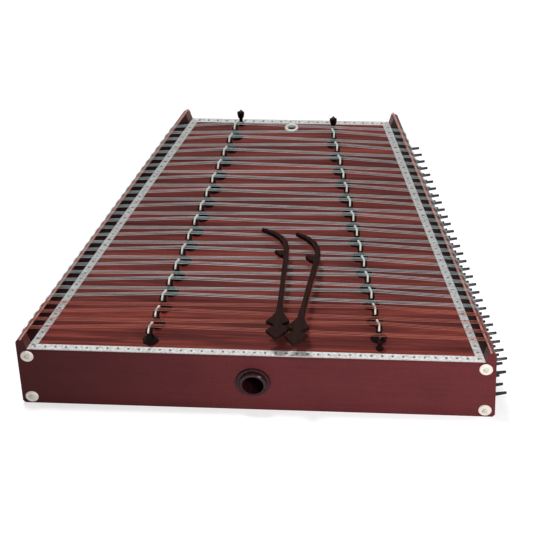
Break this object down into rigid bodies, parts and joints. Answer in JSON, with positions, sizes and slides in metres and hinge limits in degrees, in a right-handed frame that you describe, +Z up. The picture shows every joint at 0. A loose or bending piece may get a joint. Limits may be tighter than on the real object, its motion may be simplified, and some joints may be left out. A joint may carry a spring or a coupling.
{
  "type": "santoor",
  "caption": "Trapezoid hammered box zither with triple string courses over two rows of bridges, side tuning pins and a pair of light curved mallets.",
  "frame": {"origin": "middle of the footprint at the plane that the instrument stands on, pins and mallets included", "axes": "+X across to the side with the tuning pins, +Y from the wide front board to the narrow back board, +Z up"},
  "size_m": [0.649, 0.5896, 0.1236],
  "materials": {
    "board": "red-brown stained wood, satin",
    "casing": "dark maroon varnish, satin",
    "plain_wood": "bare",
    "inlay": "off-white strip, satin",
    "ebony": "black-brown, polished",
    "bone": "cream, satin",
    "string_metal": "drawn wire and rod",
    "screw_steel": "plain",
    "pin_steel": "blued",
    "mallet_wood": "dark brown, matt"
  },
  "bodies": {
    "instrument": {"soundboard": "board", "front_board": "casing", "back_board": "casing", "left_rail": "casing", "right_rail": "casing", "bottom_board": "plain_wood", "left_brace": "plain_wood", "right_brace": "plain_wood", "front_inlay": "inlay", "back_inlay": "inlay", "left_inlay": "inlay", "right_inlay": "inlay", "front_sound_hole_ring": "ebony", "top_sound_hole_ring": "bone", "front_right_knob": "ebony", "back_left_knob": "ebony", "back_right_knob": "ebony", "left_nut_rod": "string_metal", "right_nut_rod": "string_metal", "left_upper_button": "bone", "left_upper_screw": "screw_steel", "left_lower_button": "bone", "left_lower_screw": "screw_steel", "right_upper_button": "bone", "right_upper_screw": "screw_steel", "right_lower_button": "bone", "right_lower_screw": "screw_steel"},
    "left_mallet": {"left_mallet": "mallet_wood"},
    "right_mallet": {"right_mallet": "mallet_wood"},
    "tuning_pin_01": {"tuning_pin_01": "pin_steel"},
    "tuning_pin_02": {"tuning_pin_02": "pin_steel"},
    "tuning_pin_03": {"tuning_pin_03": "pin_steel"},
    "tuning_pin_04": {"tuning_pin_04": "pin_steel"},
    "tuning_pin_05": {"tuning_pin_05": "pin_steel"},
    "tuning_pin_06": {"tuning_pin_06": "pin_steel"},
    "tuning_pin_07": {"tuning_pin_07": "pin_steel"},
    "tuning_pin_08": {"tuning_pin_08": "pin_steel"},
    "tuning_pin_09": {"tuning_pin_09": "pin_steel"},
    "tuning_pin_10": {"tuning_pin_10": "pin_steel"},
    "tuning_pin_11": {"tuning_pin_11": "pin_steel"},
    "tuning_pin_12": {"tuning_pin_12": "pin_steel"},
    "tuning_pin_13": {"tuning_pin_13": "pin_steel"},
    "tuning_pin_14": {"tuning_pin_14": "pin_steel"},
    "tuning_pin_15": {"tuning_pin_15": "pin_steel"},
    "tuning_pin_16": {"tuning_pin_16": "pin_steel"},
    "tuning_pin_17": {"tuning_pin_17": "pin_steel"},
    "tuning_pin_18": {"tuning_pin_18": "pin_steel"},
    "tuning_pin_19": {"tuning_pin_19": "pin_steel"},
    "tuning_pin_20": {"tuning_pin_20": "pin_steel"},
    "tuning_pin_21": {"tuning_pin_21": "pin_steel"},
    "tuning_pin_22": {"tuning_pin_22": "pin_steel"},
    "tuning_pin_23": {"tuning_pin_23": "pin_steel"},
    "tuning_pin_24": {"tuning_pin_24": "pin_steel"},
    "tuning_pin_25": {"tuning_pin_25": "pin_steel"},
    "tuning_pin_26": {"tuning_pin_26": "pin_steel"},
    "tuning_pin_27": {"tuning_pin_27": "pin_steel"},
    "tuning_pin_28": {"tuning_pin_28": "pin_steel"},
    "tuning_pin_29": {"tuning_pin_29": "pin_steel"}
  },
  "joints": [
    {"name": "tuning_pin_01_turn", "type": "hinge", "parent": "instrument", "child": "tuning_pin_01", "pos_m": [0.30308, -0.25811, 0.076], "axis": [0.9667, 0.2559, 0], "continuous": true},
    {"name": "tuning_pin_02_turn", "type": "hinge", "parent": "instrument", "child": "tuning_pin_02", "pos_m": [0.29835, -0.24024, 0.076], "axis": [0.9667, 0.2559, 0], "continuous": true},
    {"name": "tuning_pin_03_turn", "type": "hinge", "parent": "instrument", "child": "tuning_pin_03", "pos_m": [0.29361, -0.22237, 0.076], "axis": [0.9667, 0.2559, 0], "continuous": true},
    {"name": "tuning_pin_04_turn", "type": "hinge", "parent": "instrument", "child": "tuning_pin_04", "pos_m": [0.28888, -0.20449, 0.076], "axis": [0.9667, 0.2559, 0], "continuous": true},
    {"name": "tuning_pin_05_turn", "type": "hinge", "parent": "instrument", "child": "tuning_pin_05", "pos_m": [0.28415, -0.18662, 0.076], "axis": [0.9667, 0.2559, 0], "continuous": true},
    {"name": "tuning_pin_06_turn", "type": "hinge", "parent": "instrument", "child": "tuning_pin_06", "pos_m": [0.27942, -0.16875, 0.076], "axis": [0.9667, 0.2559, 0], "continuous": true},
    {"name": "tuning_pin_07_turn", "type": "hinge", "parent": "instrument", "child": "tuning_pin_07", "pos_m": [0.27469, -0.15088, 0.076], "axis": [0.9667, 0.2559, 0], "continuous": true},
    {"name": "tuning_pin_08_turn", "type": "hinge", "parent": "instrument", "child": "tuning_pin_08", "pos_m": [0.26996, -0.13301, 0.076], "axis": [0.9667, 0.2559, 0], "continuous": true},
    {"name": "tuning_pin_09_turn", "type": "hinge", "parent": "instrument", "child": "tuning_pin_09", "pos_m": [0.26522, -0.11514, 0.076], "axis": [0.9667, 0.2559, 0], "continuous": true},
    {"name": "tuning_pin_10_turn", "type": "hinge", "parent": "instrument", "child": "tuning_pin_10", "pos_m": [0.26049, -0.09727, 0.076], "axis": [0.9667, 0.2559, 0], "continuous": true},
    {"name": "tuning_pin_11_turn", "type": "hinge", "parent": "instrument", "child": "tuning_pin_11", "pos_m": [0.25576, -0.07939, 0.076], "axis": [0.9667, 0.2559, 0], "continuous": true},
    {"name": "tuning_pin_12_turn", "type": "hinge", "parent": "instrument", "child": "tuning_pin_12", "pos_m": [0.25103, -0.06152, 0.076], "axis": [0.9667, 0.2559, 0], "continuous": true},
    {"name": "tuning_pin_13_turn", "type": "hinge", "parent": "instrument", "child": "tuning_pin_13", "pos_m": [0.2463, -0.04365, 0.076], "axis": [0.9667, 0.2559, 0], "continuous": true},
    {"name": "tuning_pin_14_turn", "type": "hinge", "parent": "instrument", "child": "tuning_pin_14", "pos_m": [0.24157, -0.02578, 0.076], "axis": [0.9667, 0.2559, 0], "continuous": true},
    {"name": "tuning_pin_15_turn", "type": "hinge", "parent": "instrument", "child": "tuning_pin_15", "pos_m": [0.23683, -0.00791, 0.076], "axis": [0.9667, 0.2559, 0], "continuous": true},
    {"name": "tuning_pin_16_turn", "type": "hinge", "parent": "instrument", "child": "tuning_pin_16", "pos_m": [0.2321, 0.00996, 0.076], "axis": [0.9667, 0.2559, 0], "continuous": true},
    {"name": "tuning_pin_17_turn", "type": "hinge", "parent": "instrument", "child": "tuning_pin_17", "pos_m": [0.22737, 0.02783, 0.076], "axis": [0.9667, 0.2559, 0], "continuous": true},
    {"name": "tuning_pin_18_turn", "type": "hinge", "parent": "instrument", "child": "tuning_pin_18", "pos_m": [0.22264, 0.04571, 0.076], "axis": [0.9667, 0.2559, 0], "continuous": true},
    {"name": "tuning_pin_19_turn", "type": "hinge", "parent": "instrument", "child": "tuning_pin_19", "pos_m": [0.21791, 0.06358, 0.076], "axis": [0.9667, 0.2559, 0], "continuous": true},
    {"name": "tuning_pin_20_turn", "type": "hinge", "parent": "instrument", "child": "tuning_pin_20", "pos_m": [0.21318, 0.08145, 0.076], "axis": [0.9667, 0.2559, 0], "continuous": true},
    {"name": "tuning_pin_21_turn", "type": "hinge", "parent": "instrument", "child": "tuning_pin_21", "pos_m": [0.20844, 0.09932, 0.076], "axis": [0.9667, 0.2559, 0], "continuous": true},
    {"name": "tuning_pin_22_turn", "type": "hinge", "parent": "instrument", "child": "tuning_pin_22", "pos_m": [0.20371, 0.11719, 0.076], "axis": [0.9667, 0.2559, 0], "continuous": true},
    {"name": "tuning_pin_23_turn", "type": "hinge", "parent": "instrument", "child": "tuning_pin_23", "pos_m": [0.19898, 0.13506, 0.076], "axis": [0.9667, 0.2559, 0], "continuous": true},
    {"name": "tuning_pin_24_turn", "type": "hinge", "parent": "instrument", "child": "tuning_pin_24", "pos_m": [0.19425, 0.15293, 0.076], "axis": [0.9667, 0.2559, 0], "continuous": true},
    {"name": "tuning_pin_25_turn", "type": "hinge", "parent": "instrument", "child": "tuning_pin_25", "pos_m": [0.18952, 0.17081, 0.076], "axis": [0.9667, 0.2559, 0], "continuous": true},
    {"name": "tuning_pin_26_turn", "type": "hinge", "parent": "instrument", "child": "tuning_pin_26", "pos_m": [0.18479, 0.18868, 0.076], "axis": [0.9667, 0.2559, 0], "continuous": true},
    {"name": "tuning_pin_27_turn", "type": "hinge", "parent": "instrument", "child": "tuning_pin_27", "pos_m": [0.18006, 0.20655, 0.076], "axis": [0.9667, 0.2559, 0], "continuous": true},
    {"name": "tuning_pin_28_turn", "type": "hinge", "parent": "instrument", "child": "tuning_pin_28", "pos_m": [0.17532, 0.22442, 0.076], "axis": [0.9667, 0.2559, 0], "continuous": true},
    {"name": "tuning_pin_29_turn", "type": "hinge", "parent": "instrument", "child": "tuning_pin_29", "pos_m": [0.17059, 0.24229, 0.076], "axis": [0.9667, 0.2559, 0], "continuous": true},
    {"name": "left_mallet_lift", "type": "slide", "parent": "instrument", "child": "left_mallet", "axis": [0, 0, 1], "range_m": [0, 0.08]},
    {"name": "right_mallet_lift", "type": "slide", "parent": "instrument", "child": "right_mallet", "axis": [0, 0, 1], "range_m": [0, 0.08]}
  ]
}
